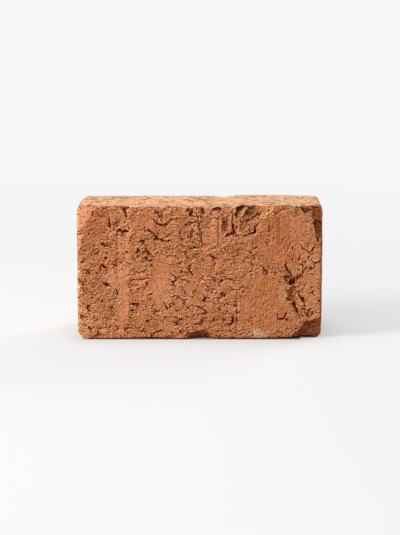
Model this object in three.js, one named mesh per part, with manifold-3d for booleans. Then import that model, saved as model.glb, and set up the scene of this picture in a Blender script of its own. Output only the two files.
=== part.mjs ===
// A solid wire-cut clay brick, fired and weathered, standing on its long edge.
// Millimetres, +Z up. X runs along the length and Y through the thickness, from the front
// bed face (-Y) to the back one (+Y). The origin is the centre of the base.
//
// The brick is one plain block, and its character is all in what has come off it: arrises
// rubbed round, spalled corners, the drag lines and tears that the cutting wire left in both
// bed faces, and the cracks that opened as it dried.

import * as THREE from "three";
import { mergeVertices } from "three/addons/utils/BufferGeometryUtils.js";
import Module from "manifold-3d";

const wasm = await Module();
wasm.setup();

// Driving dimensions
const brickLength = 210;
const brickHeight = 116;
const brickThickness = 64;

// Faces of the uncut block
const left = -brickLength / 2;
const right = brickLength / 2;
const front = -brickThickness / 2;
const back = brickThickness / 2;
const base = 0;
const top = brickHeight;

// Each worked face places a point by its distances along the face and its depth below it
const onFront = (fromLeft, up, depth) =>
  new THREE.Vector3(left + fromLeft, front + depth, base + up);
const onBack = (fromLeft, up, depth) =>
  new THREE.Vector3(left + fromLeft, back - depth, base + up);
const onTop = (fromLeft, fromFront, depth) =>
  new THREE.Vector3(left + fromLeft, front + fromFront, top - depth);

// How far a cutting shape stands out of the face that it cuts
const clearOfFace = 2;

// Wear of the twelve arrises: the radius that handling has rounded each one to
const arrisWear = {
  frontTop: 1.3,
  frontBase: 2.2,
  backTop: 1.8,
  backBase: 2.2,
  frontLeft: 3.0,
  frontRight: 2.0,
  backLeft: 2.6,
  backRight: 2.4,
  leftTop: 2.2,
  leftBase: 3.2,
  rightTop: 2.2,
  rightBase: 4.0,
};
const wearStep = 10;
const wearUnevenness = 0.35;

// Corners and arrises that have spalled off. Each is measured from the faces it breaks, and
// its radii are along X, Y and Z before it is turned.
const spalls = [
  // front corners
  { x: left - 4, y: front - 14, z: top + 2, radii: [26, 22, 31], turn: [0, 0, 0] },
  { x: left - 8.5, y: front - 11, z: top - 14, radii: [21.3, 16, 50], turn: [0, 0, 0] },
  { x: right - 2, y: front - 12, z: top + 3, radii: [24, 18, 17.4], turn: [0, 0, 0] },
  { x: right + 5, y: front - 11, z: top - 14, radii: [18, 16, 27.5], turn: [0, 0, 0] },
  { x: right + 3, y: front - 16, z: base - 2, radii: [35, 24, 27.5], turn: [0, 0, 0] },
  { x: right - 10, y: front - 2, z: base - 10, radii: [42, 24, 13], turn: [0, 2, 0] },
  { x: left - 14.7, y: front - 2, z: base - 14.7, radii: [26, 40, 26], turn: [0, 0, 0] },
  // back corners
  { x: left - 5, y: back + 6, z: top + 5, radii: [12, 28, 11], turn: [0, 12, 6] },
  { x: right + 4, y: back + 5, z: top + 5, radii: [10, 20, 9], turn: [0, -10, 0] },
  { x: right + 6, y: back + 6, z: base + 8, radii: [12, 12, 20], turn: [12, 0, 0] },
  // arrises of the base
  { x: left + 106, y: front - 7, z: base - 3, radii: [16, 15, 12.5], turn: [0, 4, 6] },
  { x: left + 62, y: front - 4, z: base - 8, radii: [22, 12, 11], turn: [0, -4, 0] },
  { x: left + 24, y: front - 3, z: base - 3, radii: [7, 7, 5], turn: [0, 0, 0] },
  { x: left + 150, y: back + 5, z: base - 8, radii: [26, 12, 12], turn: [0, 5, 0] },
  // arrises of the top
  { x: left + 125, y: back + 3, z: top + 6, radii: [12, 14, 9], turn: [0, 0, 6] },
  { x: left + 50, y: back + 7, z: top + 6, radii: [16, 11, 10], turn: [0, 8, 0] },
  { x: left + 43, y: front - 1, z: top - 1, radii: [2.6, 4.5, 3.4], turn: [0, 20, 0] },
  { x: left + 98, y: front - 1, z: top - 6, radii: [1.8, 4, 3.4], turn: [0, 24, 0] },
  { x: left + 120, y: front - 1, z: top - 2.5, radii: [4.5, 4, 2.2], turn: [0, -8, 0] },
  { x: left + 140, y: front - 1, z: top - 0.5, radii: [5, 4, 2.6], turn: [0, 6, 0] },
];

// The broken hollow under the top arris, as the overlapping crumbs that fell out of it, and
// the two hollows that the split by the right end opens into. Each reaches its depth into
// the front bed face.
const hollows = [
  { fromLeft: 150, up: 110.5, depth: 4.2, radii: [11, 9, 5.5], turn: [0, -32, 0] },
  { fromLeft: 140, up: 113.5, depth: 5, radii: [5.5, 8, 3.4], turn: [0, -20, 0] },
  { fromLeft: 145, up: 98, depth: 2.2, radii: [10, 9, 8.5], turn: [0, -20, 0] },
  { fromLeft: 128, up: 100.5, depth: 2.6, radii: [6.5, 9, 11.5], turn: [0, 6, 0] },
  { fromLeft: 184.5, up: 50.5, depth: 7, radii: [3.4, 7.5, 3.4], turn: [0, 25, 0] },
  { fromLeft: 184.5, up: 40.5, depth: 4.5, radii: [4, 5.5, 6.6], turn: [0, 14, 0] },
];

// Unevenness of a broken surface, as a share of the flake's radii: long ripples over all of
// it, and rough steps from point to point
const flakeRipple = 0.06;
const flakeRoughness = 0.025;
const hollowRoughness = 0.09;

// Drag lines of the cutting wire, straight up the front bed face between two heights. One with
// a floor is a shallow trough, and one without is a groove.
const dragLines = [
  { fromLeft: 38.5, from: -4, to: 120, width: 3, floor: 8, depth: 0.5 },
  { fromLeft: 111, from: 78, to: 121, width: 4, floor: 8, depth: 0.9 },
  { fromLeft: 121, from: 76, to: 112, width: 3, floor: 0, depth: 0.8 },
  { fromLeft: 137.3, from: -6, to: 60, width: 2, floor: 0, depth: 0.8 },
  { fromLeft: 100.2, from: 22, to: 52, width: 1.8, floor: 0, depth: 0.7 },
  { fromLeft: 74, from: 8, to: 30, width: 1.8, floor: 0, depth: 0.6 },
  { fromLeft: 165, from: 68, to: 122, width: 4, floor: 0, depth: 0.4 },
  { fromLeft: 173, from: 78, to: 122, width: 5, floor: 0, depth: 0.5 },
  { fromLeft: 182, from: 72, to: 118, width: 3.5, floor: 0, depth: 0.4 },
];
const dragStep = 8;

// Cracks of the front bed face. Points are [from the left end, above the base].
const cracks = [
  // the split by the right end, which runs through its hollows from top to bottom
  { width: 2.0, depth: 5, path: [[177.5, 66], [180, 61], [184, 56.5], [186, 50]] },
  { width: 2.0, depth: 5, path: [[194.5, 61], [192.5, 56], [188, 53.5], [184, 50]] },
  { width: 1.8, depth: 4, path: [[177, 54.5], [184, 53.5]] },
  { width: 1.4, depth: 3, path: [[187, 48], [190.5, 39], [195.5, 31.5], [197, 20]] },
  { width: 2.6, depth: 5, path: [[184, 35], [187, 28], [190.5, 21.5]] },
  { width: 1.4, depth: 3, path: [[179.5, 35], [185.5, 34.5]] },
  // the curl below it
  { width: 1.4, depth: 2.5, path: [[172, 21.5], [174, 17], [177.5, 18], [179.5, 23.5]] },
  // strokes on the smooth right-hand third
  { width: 1.3, depth: 2.4, path: [[156.5, 66], [162, 60], [165, 54.5], [169, 50]] },
  { width: 1.6, depth: 2.0, path: [[162.5, 83], [166, 88]] },
  { width: 1.4, depth: 2.4, path: [[200, 77], [204, 81.5]] },
  // the lips round the hollow under the top arris
  { width: 1.8, depth: 5, path: [[157, 110], [148, 104], [139, 101.5]] },
  { width: 1.8, depth: 3.6, path: [[154, 102], [152, 97], [152, 93.5], [146, 92], [142, 90]] },
  { width: 1.6, depth: 4, path: [[136.5, 113], [136, 106]] },
  { width: 1.8, depth: 3.8, path: [[133, 110], [132.5, 100], [135, 92.5], [128.5, 90.5], [125.5, 94]] },
  // the drag line that tore open from the top arris down
  { width: 1.8, depth: 2.6, path: [[99, 114], [103, 108], [105, 100], [105, 84]] },
  // long tears across the left half
  { width: 1.6, depth: 2.6, path: [[68, 104], [71.5, 99.5], [76, 100], [82, 104]] },
  { width: 1.4, depth: 2.4, path: [[73, 113], [72, 104]] },
  { width: 1.5, depth: 2.6, path: [[62, 95], [66, 91.5], [69, 88], [76, 85.5]] },
  { width: 1.6, depth: 2.6, path: [[75, 81], [80, 79], [87, 78]] },
  { width: 1.4, depth: 2.4, path: [[59.5, 78.5], [62, 74], [66, 72]] },
  { width: 1.5, depth: 2.6, path: [[34, 95], [38, 94.5], [46, 94.5]] },
  { width: 2.0, depth: 3.0, path: [[27, 107], [28.5, 101], [27.5, 97.5]] },
  { width: 1.8, depth: 2.8, path: [[86, 95], [88.5, 92.5], [91, 96]] },
  { width: 2.2, depth: 3.0, path: [[98, 98], [99.5, 95], [98, 87]] },
  { width: 2.2, depth: 3.2, path: [[17, 57.5], [20.5, 60], [20, 64], [26, 62.5]] },
  { width: 1.6, depth: 2.6, path: [[22, 50], [26, 47.5], [31, 47]] },
  { width: 1.4, depth: 2.4, path: [[43, 49.5], [50, 47.5], [54, 45]] },
  { width: 1.5, depth: 2.4, path: [[48, 42.5], [51.5, 44], [56.5, 43]] },
  { width: 2.0, depth: 2.8, path: [[47, 30.5], [54.5, 29.5]] },
  { width: 1.5, depth: 2.4, path: [[84, 68], [90, 67], [97, 66]] },
  { width: 1.4, depth: 2.4, path: [[80.5, 26], [86, 25], [91, 28]] },
  { width: 1.6, depth: 2.6, path: [[83, 14.5], [88.5, 17], [92, 20.5]] },
  { width: 1.5, depth: 2.6, path: [[91, 13], [105, 13.5], [109, 18.5], [117, 20]] },
  { width: 1.6, depth: 2.6, path: [[37, 15.5], [43, 12.5], [46, 9]] },
  { width: 1.5, depth: 2.4, path: [[13, 77], [17, 75.5], [21, 79.5]] },
  { width: 1.4, depth: 2.4, path: [[4.5, 50.5], [8, 50], [15.5, 48.5]] },
  { width: 1.6, depth: 2.4, path: [[99, 73], [103.5, 71.5], [108, 75]] },
  { width: 1.6, depth: 2.4, path: [[28.5, 14], [28, 8]] },
];
const crackStep = 3;
const crackWander = 0.5;
const fadeLead = 0.15;
const mouthLip = 0.02;

// Tears that the wire drags open all over a bed face, drawn from a repeatable scatter. The
// clay lifts in a sharp bowed lip above each one, and runs out in a ramp below it.
const frontTears = {
  from: 3,
  to: 134,
  columns: 8,
  rows: 8,
  length: [6, 15],
  width: [0.6, 1.1],
  depth: [0.6, 1.7],
  runOut: [1.5, 6],
  bow: 2.4,
  tilt: 32,
  seed: 501,
};
const shallowTears = {
  from: 136,
  to: 206,
  columns: 4,
  rows: 4,
  length: [4, 10],
  width: [0.5, 0.9],
  depth: [0.4, 0.9],
  runOut: [1, 3],
  bow: 1.2,
  tilt: 70,
  seed: 601,
};
const backTears = { ...frontTears, to: brickLength - 5, columns: 8, rows: 6, seed: 701 };

// Scratches along the top, where the die dragged grit over it
const topScratches = { count: 7, length: [14, 44], width: 0.9, depth: 0.5, margin: 6, seed: 801 };

// Small pits where grit has fallen out, in a patch of a face
const frontPits = { from: [139, 3], to: [181, 56], count: 16, radius: [0.7, 1.3], seed: 901 };
const topPits = { from: [8, 5], to: [200, 58], count: 14, radius: [0.7, 1.4], seed: 951 };

// A repeatable run of numbers from 0 to 1
function scatter(seed) {
  let state = seed;
  return () => {
    state = (state + 0x6d2b79f5) | 0;
    let mixed = Math.imul(state ^ (state >>> 15), 1 | state);
    mixed = (mixed + Math.imul(mixed ^ (mixed >>> 7), 61 | mixed)) ^ mixed;
    return ((mixed ^ (mixed >>> 14)) >>> 0) / 4294967296;
  };
}

// A value between the two ends of a range
function within([low, high], share) {
  return THREE.MathUtils.lerp(low, high, share);
}

// Keeps only positions, with shared vertices merged
function bare(geometry) {
  const positions = new THREE.BufferGeometry();
  positions.setAttribute("position", geometry.getAttribute("position"));
  positions.setIndex(geometry.getIndex());
  return mergeVertices(positions, 1e-4);
}

// A closed geometry as a solid, turned to face outwards
function solidFrom(geometry) {
  const merged = bare(geometry);
  const vertProperties = merged.getAttribute("position").array;
  const triVerts = new Uint32Array(merged.getIndex().array);
  const made = new wasm.Manifold(new wasm.Mesh({ numProp: 3, vertProperties, triVerts }));
  if (made.volume() > 0) return made;
  triVerts.reverse();
  return new wasm.Manifold(new wasm.Mesh({ numProp: 3, vertProperties, triVerts }));
}

// A solid as a geometry for a mesh
function geometryFrom(solid) {
  const { numProp, vertProperties, triVerts } = solid.getMesh();
  const positions = new THREE.InterleavedBuffer(vertProperties, numProp);
  const geometry = new THREE.BufferGeometry();
  geometry.setAttribute("position", new THREE.InterleavedBufferAttribute(positions, 3, 0));
  geometry.setIndex(new THREE.BufferAttribute(triVerts, 1));
  const flat = geometry.toNonIndexed();
  flat.computeVertexNormals();
  return flat;
}

// A closed skin through rings of points. Every ring has the same count, and its first point
// sees all the others, so that the two end caps can be fanned from it.
function loft(rings) {
  const count = rings[0].length;
  const lastRing = (rings.length - 1) * count;
  const index = [];
  for (let ring = 0; ring < lastRing; ring += count) {
    for (let i = 0; i < count; i++) {
      const next = (i + 1) % count;
      index.push(ring + i, ring + next, ring + count + next);
      index.push(ring + i, ring + count + next, ring + count + i);
    }
  }
  for (let i = 1; i + 1 < count; i++) {
    index.push(0, i + 1, i, lastRing, lastRing + i, lastRing + i + 1);
  }
  const geometry = new THREE.BufferGeometry().setFromPoints(rings.flat());
  geometry.setIndex(index);
  return geometry;
}

// What handling has rubbed off one arris: a strip whose inner side is a rounded corner of
// uneven radius. The two inward vectors point from the arris along its two faces.
function wornStrip(start, end, inwardA, inwardB, wear, seed) {
  const arcSteps = 3;
  const random = scatter(seed);
  const run = end.clone().sub(start);
  const stations = Math.max(2, Math.round(run.length() / wearStep));
  const at = (origin, a, b) =>
    origin.clone().addScaledVector(inwardA, a).addScaledVector(inwardB, b);
  const rings = [];
  for (let station = -1; station <= stations + 1; station++) {
    const origin = start.clone().addScaledVector(run, station / stations);
    const radius = wear * (1 + wearUnevenness * (2 * random() - 1));
    const ring = [at(origin, -clearOfFace, -clearOfFace), at(origin, radius, -clearOfFace)];
    for (let step = 0; step <= arcSteps; step++) {
      const angle = (Math.PI / 2) * (step / arcSteps);
      ring.push(at(origin, radius * (1 - Math.sin(angle)), radius * (1 - Math.cos(angle))));
    }
    ring.push(at(origin, -clearOfFace, radius));
    rings.push(ring);
  }
  return loft(rings);
}

// All twelve arrises, four along each axis
function wornArrises() {
  const point = (x, y, z) => new THREE.Vector3(x, y, z);
  const capital = (name) => name[0].toUpperCase() + name.slice(1);
  const sides = [
    { name: "front", y: front, inward: point(0, 1, 0) },
    { name: "back", y: back, inward: point(0, -1, 0) },
  ];
  const ends = [
    { name: "left", x: left, inward: point(1, 0, 0) },
    { name: "right", x: right, inward: point(-1, 0, 0) },
  ];
  const levels = [
    { name: "top", z: top, inward: point(0, 0, -1) },
    { name: "base", z: base, inward: point(0, 0, 1) },
  ];
  const strips = [];
  const wearOff = (first, second, start, end) => {
    const wear = arrisWear[first.name + capital(second.name)];
    strips.push(wornStrip(start, end, first.inward, second.inward, wear, 11 + strips.length));
  };
  for (const side of sides) {
    for (const level of levels) {
      wearOff(side, level, point(left, side.y, level.z), point(right, side.y, level.z));
    }
    for (const end of ends) {
      wearOff(side, end, point(end.x, side.y, base), point(end.x, side.y, top));
    }
  }
  for (const end of ends) {
    for (const level of levels) {
      wearOff(end, level, point(end.x, front, level.z), point(end.x, back, level.z));
    }
  }
  return strips;
}

// A rough lump, the shape of a flake that has broken out of the clay
function lump({ x, y, z, radii, turn }, roughness, seed) {
  const random = scatter(seed);
  const geometry = bare(new THREE.IcosahedronGeometry(1, 2));
  const points = geometry.getAttribute("position");
  const phase = [random(), random()].map((share) => 2 * Math.PI * share);
  const point = new THREE.Vector3();
  for (let i = 0; i < points.count; i++) {
    point.fromBufferAttribute(points, i);
    const ripple = Math.sin(4 * point.x + 3 * point.z + phase[0]);
    const crossRipple = Math.sin(5 * point.y - 4 * point.z + phase[1]);
    const step = 2 * random() - 1;
    point.multiplyScalar(1 + flakeRipple * ripple * crossRipple + roughness * step);
    points.setXYZ(i, ...point);
  }
  const [turnX, turnY, turnZ] = turn.map(THREE.MathUtils.degToRad);
  const turned = new THREE.Matrix4();
  turned.makeRotationFromEuler(new THREE.Euler(turnX, turnY, turnZ));
  return geometry.scale(...radii).applyMatrix4(turned).translate(x, y, z);
}

// A hollow in the front bed face, placed so that it reaches its depth
function hollow({ fromLeft, up, depth, radii, turn }, seed) {
  const { x, y, z } = onFront(fromLeft, up, depth - radii[1]);
  return lump({ x, y, z, radii, turn }, hollowRoughness, seed);
}

// Points along a path, about one step apart, wandering a little to either side
function wanderingLine(path, step, wander, random) {
  const corners = path.map((corner) => new THREE.Vector2(...corner));
  const line = [corners[0]];
  for (let i = 0; i + 1 < corners.length; i++) {
    const run = corners[i + 1].clone().sub(corners[i]);
    const aside = new THREE.Vector2(-run.y, run.x).normalize();
    const steps = Math.max(1, Math.round(run.length() / step));
    for (let n = 1; n <= steps; n++) {
      const sway = n < steps ? wander * (2 * random() - 1) : 0;
      line.push(corners[i].clone().addScaledVector(run, n / steps).addScaledVector(aside, sway));
    }
  }
  return line;
}

// A cut along a path on a face, fading out at both ends. Its section is a V, flat-bottomed
// where it has a floor, and its lower side can run out in a ramp.
function cutAlong(path, { width, depth, floor = 0, runOut = 0, step = crackStep }, place, seed) {
  const random = scatter(seed);
  const line = wanderingLine(path, step, floor ? 0 : crackWander, random);
  const rings = line.map((point, i) => {
    const before = line[Math.max(0, i - 1)];
    const after = line[Math.min(line.length - 1, i + 1)];
    const heading = after.clone().sub(before).normalize();
    const fade = Math.sin((Math.PI * (i + fadeLead)) / (line.length - 1 + 2 * fadeLead));
    const upper = (width / 2) * fade * (0.85 + 0.3 * random()) + floor / 2;
    const lower = upper + runOut * Math.sqrt(fade) * (0.75 + 0.5 * random());
    const across = (offset, below) =>
      place(point.x - heading.y * offset, point.y + heading.x * offset, below);
    const root = depth * fade;
    const roots = floor ? [across(-floor / 2, root), across(floor / 2, root)] : [across(0, root)];
    return [
      ...roots,
      across(upper, -mouthLip),
      across(upper, -clearOfFace),
      across(-lower, -clearOfFace),
      across(-lower, -mouthLip),
    ];
  });
  return loft(rings);
}

// Tears over a stretch of a bed face, one to each cell of a grid
function tears(pattern, place) {
  const { from, to, columns, rows, length, width, depth, runOut, bow, tilt, seed } = pattern;
  const random = scatter(seed);
  const cellWidth = (to - from) / columns;
  const cellHeight = brickHeight / rows;
  const cuts = [];
  for (let column = 0; column < columns; column++) {
    for (let row = 0; row < rows; row++) {
      const middle = new THREE.Vector2(
        from + cellWidth * (column + random()),
        cellHeight * (row + 0.1 + 0.8 * random()),
      );
      const angle = THREE.MathUtils.degToRad(tilt * (2 * random() - 1));
      const reach = new THREE.Vector2(within(length, random()) / 2, 0);
      reach.rotateAround(new THREE.Vector2(), angle);
      const crown = new THREE.Vector2(0, bow * (2 * random() - 1)).add(middle);
      const path = [middle.clone().sub(reach), crown, middle.clone().add(reach)];
      const size = {
        width: within(width, random()),
        depth: within(depth, random() ** 2),
        runOut: within(runOut, random()),
      };
      cuts.push(cutAlong(path.map((point) => point.toArray()), size, place, seed + cuts.length));
    }
  }
  return cuts;
}

// Straight scratches along the top
function scratches({ count, length, width, depth, margin, seed }) {
  const random = scatter(seed);
  return Array.from({ length: count }, (_, i) => {
    const run = within(length, random());
    const start = within([margin, brickLength - margin - run], random());
    const across = margin + ((brickThickness - 2 * margin) * (i + random())) / count;
    const path = [[start, across], [start + run, across + random()]];
    return cutAlong(path, { width, depth, step: dragStep }, onTop, seed + i);
  });
}

// Pits scattered between two opposite corners of a patch
function pits({ from, to, count, radius, seed }, place) {
  const random = scatter(seed);
  return Array.from({ length: count }, () => {
    const along = within([from[0], to[0]], random());
    const across = within([from[1], to[1]], random());
    const { x, y, z } = place(along, across, 0);
    const crumb = new THREE.IcosahedronGeometry(within(radius, random()), 0);
    return crumb.rotateX(6 * random()).rotateZ(6 * random()).translate(x, y, z);
  });
}

// The brick, with everything that has come off it taken away at once
function firedBrick() {
  const block = new THREE.BoxGeometry(brickLength, brickThickness, brickHeight);
  block.translate(0, 0, brickHeight / 2);
  const removed = [
    ...wornArrises(),
    ...spalls.map((flake, i) => lump(flake, flakeRoughness, 101 + i)),
    ...hollows.map((flake, i) => hollow(flake, 201 + i)),
    ...cracks.map(({ path, ...size }, i) => cutAlong(path, size, onFront, 301 + i)),
    ...dragLines.map(({ fromLeft, from, to, ...size }, i) => {
      const path = [[fromLeft, from], [fromLeft, to]];
      return cutAlong(path, { ...size, step: dragStep }, onFront, 401 + i);
    }),
    ...tears(frontTears, onFront),
    ...tears(shallowTears, onFront),
    ...tears(backTears, onBack),
    ...scratches(topScratches),
    ...pits(frontPits, onFront),
    ...pits(topPits, onTop),
  ];
  const cuts = wasm.Manifold.union(removed.map(solidFrom));
  return geometryFrom(solidFrom(block).subtract(cuts));
}

const firedClay = new THREE.MeshStandardMaterial({
  name: "fired_clay",
  color: 0xb0704a,
  roughness: 0.95,
  metalness: 0,
});

const brick = new THREE.Mesh(firedBrick(), firedClay);
brick.name = "brick";

const part = new THREE.Group();
part.name = "clay_brick";
part.add(brick);

export default part;
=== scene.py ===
# A weathered clay brick standing on its long edge, on a pale studio floor.
# Its torn and cracked skin is grown over the frame's own solid, so each arris, spall and split
# stays where the solid has it. Places on the brick are in millimetres from the middle of its base.

import math

import bpy
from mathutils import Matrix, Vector


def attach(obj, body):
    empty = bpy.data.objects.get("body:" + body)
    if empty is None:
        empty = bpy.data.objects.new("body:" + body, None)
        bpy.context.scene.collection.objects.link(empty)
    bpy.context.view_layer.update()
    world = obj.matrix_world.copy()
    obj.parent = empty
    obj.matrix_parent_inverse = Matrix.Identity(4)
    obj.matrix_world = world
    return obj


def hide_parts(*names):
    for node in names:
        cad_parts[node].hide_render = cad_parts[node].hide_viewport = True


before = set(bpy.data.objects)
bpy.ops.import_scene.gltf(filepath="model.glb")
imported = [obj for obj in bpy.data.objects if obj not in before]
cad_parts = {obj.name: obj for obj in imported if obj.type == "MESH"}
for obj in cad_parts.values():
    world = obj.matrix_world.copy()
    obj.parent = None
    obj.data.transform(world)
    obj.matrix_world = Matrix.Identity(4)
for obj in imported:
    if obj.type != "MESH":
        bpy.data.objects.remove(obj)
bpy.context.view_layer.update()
print("frame loaded")

mm = 0.001
frontAt = -32.0  # where the torn front lies along y


# One value in a node tree. Sums on it add the Math nodes that work them out, and a vector or
# a colour uses Vector Math instead.
class Value:
    def __init__(self, bench, socket):
        self.bench = bench
        self.socket = socket
        self.isVector = socket.type in ("VECTOR", "RGBA")

    def combine(self, operation, *others, swap=False):
        values = [self, *others]
        if swap:
            values.reverse()
        isVector = any(isinstance(v, tuple) or getattr(v, "isVector", False) for v in values)
        kind = "ShaderNodeVectorMath" if isVector else "ShaderNodeMath"
        if isVector:
            values = [(v, v, v) if isinstance(v, (int, float)) else v for v in values]
        return self.bench.add(kind, {"operation": operation}, dict(enumerate(values)))

    def __add__(self, other):
        return self.combine("ADD", other)

    def __sub__(self, other):
        return self.combine("SUBTRACT", other)

    def __mul__(self, other):
        return self.combine("MULTIPLY", other)

    def __truediv__(self, other):
        return self.combine("DIVIDE", other)

    def __pow__(self, other):
        return self.combine("POWER", other)

    def __neg__(self):
        return self * -1

    def __abs__(self):
        return self.combine("ABSOLUTE")

    def __gt__(self, other):
        return self.combine("GREATER_THAN", other)

    def __lt__(self, other):
        return self.combine("LESS_THAN", other)

    def __radd__(self, other):
        return self.combine("ADD", other, swap=True)

    def __rsub__(self, other):
        return self.combine("SUBTRACT", other, swap=True)

    def __rmul__(self, other):
        return self.combine("MULTIPLY", other, swap=True)

    def __rtruediv__(self, other):
        return self.combine("DIVIDE", other, swap=True)

    def atLeast(self, other):
        return self.combine("MAXIMUM", other)

    def atMost(self, other):
        return self.combine("MINIMUM", other)

    def nearest(self):
        return self.combine("ROUND")

    def length(self):
        return self.bench.add("ShaderNodeVectorMath", {"operation": "LENGTH"}, {0: self}, "Value")

    def dot(self, other):
        settings = {"operation": "DOT_PRODUCT"}
        return self.bench.add("ShaderNodeVectorMath", settings, {0: self, 1: other}, "Value")

    # 0 at low, 1 at high and a smooth rise between them; low may be the larger one
    def rise(self, low, high):
        sockets = {"Value": self, "From Min": low, "From Max": high, "To Min": 0.0, "To Max": 1.0}
        return self.bench.add("ShaderNodeMapRange", {"interpolation_type": "SMOOTHSTEP"}, sockets)

    def axes(self):
        split = self.bench.node("ShaderNodeSeparateXYZ", {}, {0: self})
        return [Value(self.bench, output) for output in split.outputs]


# The place where a tree's nodes are made. It works on shader and geometry trees alike.
class Bench:
    def __init__(self, tree):
        self.tree = tree

    def node(self, kind, settings, sockets):
        made = self.tree.nodes.new(kind)
        for name, value in settings.items():
            setattr(made, name, value)
        for key, value in sockets.items():
            if isinstance(value, Value):
                self.tree.links.new(value.socket, made.inputs[key])
            else:
                made.inputs[key].default_value = value
        return made

    def add(self, kind, settings, sockets, output=0):
        return Value(self, self.node(kind, settings, sockets).outputs[output])

    # fractal noise from 0 to 1, at a scale of one unit of the place
    def noise(self, place, detail=2.0, roughness=0.5, output="Fac"):
        sockets = {"Vector": place, "Scale": 1.0, "Detail": detail, "Roughness": roughness}
        return self.add("ShaderNodeTexNoise", {}, sockets, output)

    # a wandering offset along all three axes, from -0.5 to 0.5
    def sway(self, place, detail=2.0, roughness=0.5):
        return self.noise(place, detail, roughness, "Color") - (0.5, 0.5, 0.5)

    # scattered cells: the distance to the nearest centre, and three chances of its cell
    def cells(self, place):
        made = self.node("ShaderNodeTexVoronoi", {}, {"Vector": place, "Scale": 1.0})
        chances = Value(self, made.outputs["Color"]).axes()
        return Value(self, made.outputs["Distance"]), chances

    def mix(self, share, first, second):
        made = self.node("ShaderNodeMix", {"data_type": "RGBA"}, {0: share, 6: first, 7: second})
        return Value(self, made.outputs[2])

    def named(self, name, kind="FLOAT"):
        settings = {"data_type": kind}
        return self.add("GeometryNodeInputNamedAttribute", settings, {"Name": name}, "Attribute")

    # keeps a value under a name, worked out only where it is chosen, and 0 elsewhere
    def stored(self, geometry, name, value, kind="FLOAT", chosen=True):
        sockets = {"Geometry": geometry, "Name": name, "Value": value, "Selection": chosen}
        return self.add("GeometryNodeStoreNamedAttribute", {"data_type": kind}, sockets)

    def vector(self, x, y, z):
        return self.add("ShaderNodeCombineXYZ", {}, {0: x, 1: y, 2: z})


print("tools ready")


# The brick's skin, with sizes in millimetres
tornSkin = {
    "seed": 7,
    "rag": 0.4,  # unevenness of the solid's own outlines
    "waveHeight": 0.3,
    "lumpHeight": 0.75,
    "grainHeight": 0.12,
    "wideLip": 0.45,  # clay lifted above a wide tear, and the tear's own depth
    "wideTear": 1.25,
    "fineLip": 0.26,
    "fineTear": 0.75,
    "crumbHeight": 0.46,
    "pitDepth": 0.9,
    "biteDepth": 1.6,  # nibbled out of the arrises
    "calmEase": 0.5,  # of the solid's grooves that calm places smooth away
    "deepening": 0.4,  # of the solid's own cracks
    "strokeDepth": 1.4,
    "topSwell": 0.8,  # by which the right of the top stands higher
    "dieFaceShare": 0.2,  # of the tearing that reaches the smoother faces
}


# Calm places in the torn front: centre, half sizes and how far each calms
calmSpots = {
    "upperRight": ((74, 86), (27, 24), 0.72),
    "besideScar": ((77, 99), (16, 13), 0.92),
    "lowerRight": ((57, 30), (24, 27), 0.82),
    "rightColumn": ((94, 47), (8, 20), 0.45),
    "wireBand": ((-67, 36), (5, 34), 0.85),
    "upperBand": ((-65, 80), (5, 14), 0.55),
    "leftFacet": ((-100, 105), (7, 13), 0.5),
    "besideCorner": ((-88, 101), (6, 11), 0.6),
    "palePatch": ((-73, 54.5), (11, 8), 0.95),
    "upperLeft": ((-49, 103), (9, 5.5), 0.9),
    "upperWire": ((-64, 101), (5, 7), 0.6),
    "middleLeft": ((-33, 52), (9, 25), 0.92),
    "lowerMiddle": ((-6, 44), (9, 14), 0.4),
    "besideGroove": ((13, 98), (5, 14), 0.55),
    "lowCentre": ((30, 40), (10, 8), 0.55),
}


# Deep places that crumbs have filled again: centre, half sizes and how far each is filled
fills = {
    "split": ((79.5, 46), (7, 13), 0.5),
    "splitArm": ((77.5, 59.5), (3, 5), 0.6),
    "splitFoot": ((83.5, 25), (3, 4), 0.7),
    "hollow": ((42, 104), (16, 14), 0.5),
    "hollowSide": ((24, 101), (7, 12), 0.3),
    "branch": ((86.5, 58), (4, 6), 0.85),
    "curl": ((70, 18.5), (6, 5), 0.75),
    "wave": ((-24.5, 51), (6, 6), 0.9),
    "lowTears": ((-1, 29), (7, 6), 0.6),
    "grooveSide": ((15.5, 93), (3, 15), 0.8),
}


# Corners seen from the front: side, up or down, centre of the round, its radius, and whether
# it may also stand out further than the solid
roundCorners = [
    (-1, -1, (-95, 10), 10.0, True),
    (1, -1, (99.5, 5.5), 5.5, True),
    (-1, 1, (-99, 110), 6.0, False),
    (1, 1, (101, 112), 4.0, False),
]


# Flat chips off the corners of the front. Each is the lines on the face that bound it and how
# deep it may reach. The clay slopes away on the left of every line, by the line's own slope.
chips = {
    "leftTop": ([((-103.3, 93.5), (-89, 114), 0.9)], 12),
    "leftEdge": ([((-103.3, 77.8), (-99.8, 91.8), 0.9), ((-95, 93), (-110, 93), 2)], 5),
    "leftArris": ([((-103.8, 40), (-103.8, 93), 1.2)], 3),
    "rightTop": ([((86.5, 115.5), (96.8, 104.9), 1.0)], 5.5),
    "rightBase": ([((105, 20.4), (87.8, 14.7), 0.9), ((88.5, 12.4), (80.9, 1.6), 1.6)], 8.5),
}


# Colours of the tinted places
tintColours = {
    "pale": (0.74, 0.330, 0.160),
    "smooth": (0.59, 0.200, 0.074),
    "facet": (0.50, 0.232, 0.118),
    "pink": (0.62, 0.250, 0.135),
    "dark": (0.36, 0.080, 0.012),
    "shaded": (0.37, 0.084, 0.014),
    "deep": (0.20, 0.020, 0.001),
    "plum": (0.34, 0.090, 0.038),
    "umber": (0.36, 0.115, 0.045),
    "ember": (0.66, 0.19, 0.065),
    "orange": (0.95, 0.43, 0.15),
    "purple": (0.50, 0.160, 0.076),
    "red": (0.52, 0.14, 0.045),
    "sandy": (0.80, 0.38, 0.200),
    "lime": (0.82, 0.60, 0.44),
}

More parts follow.
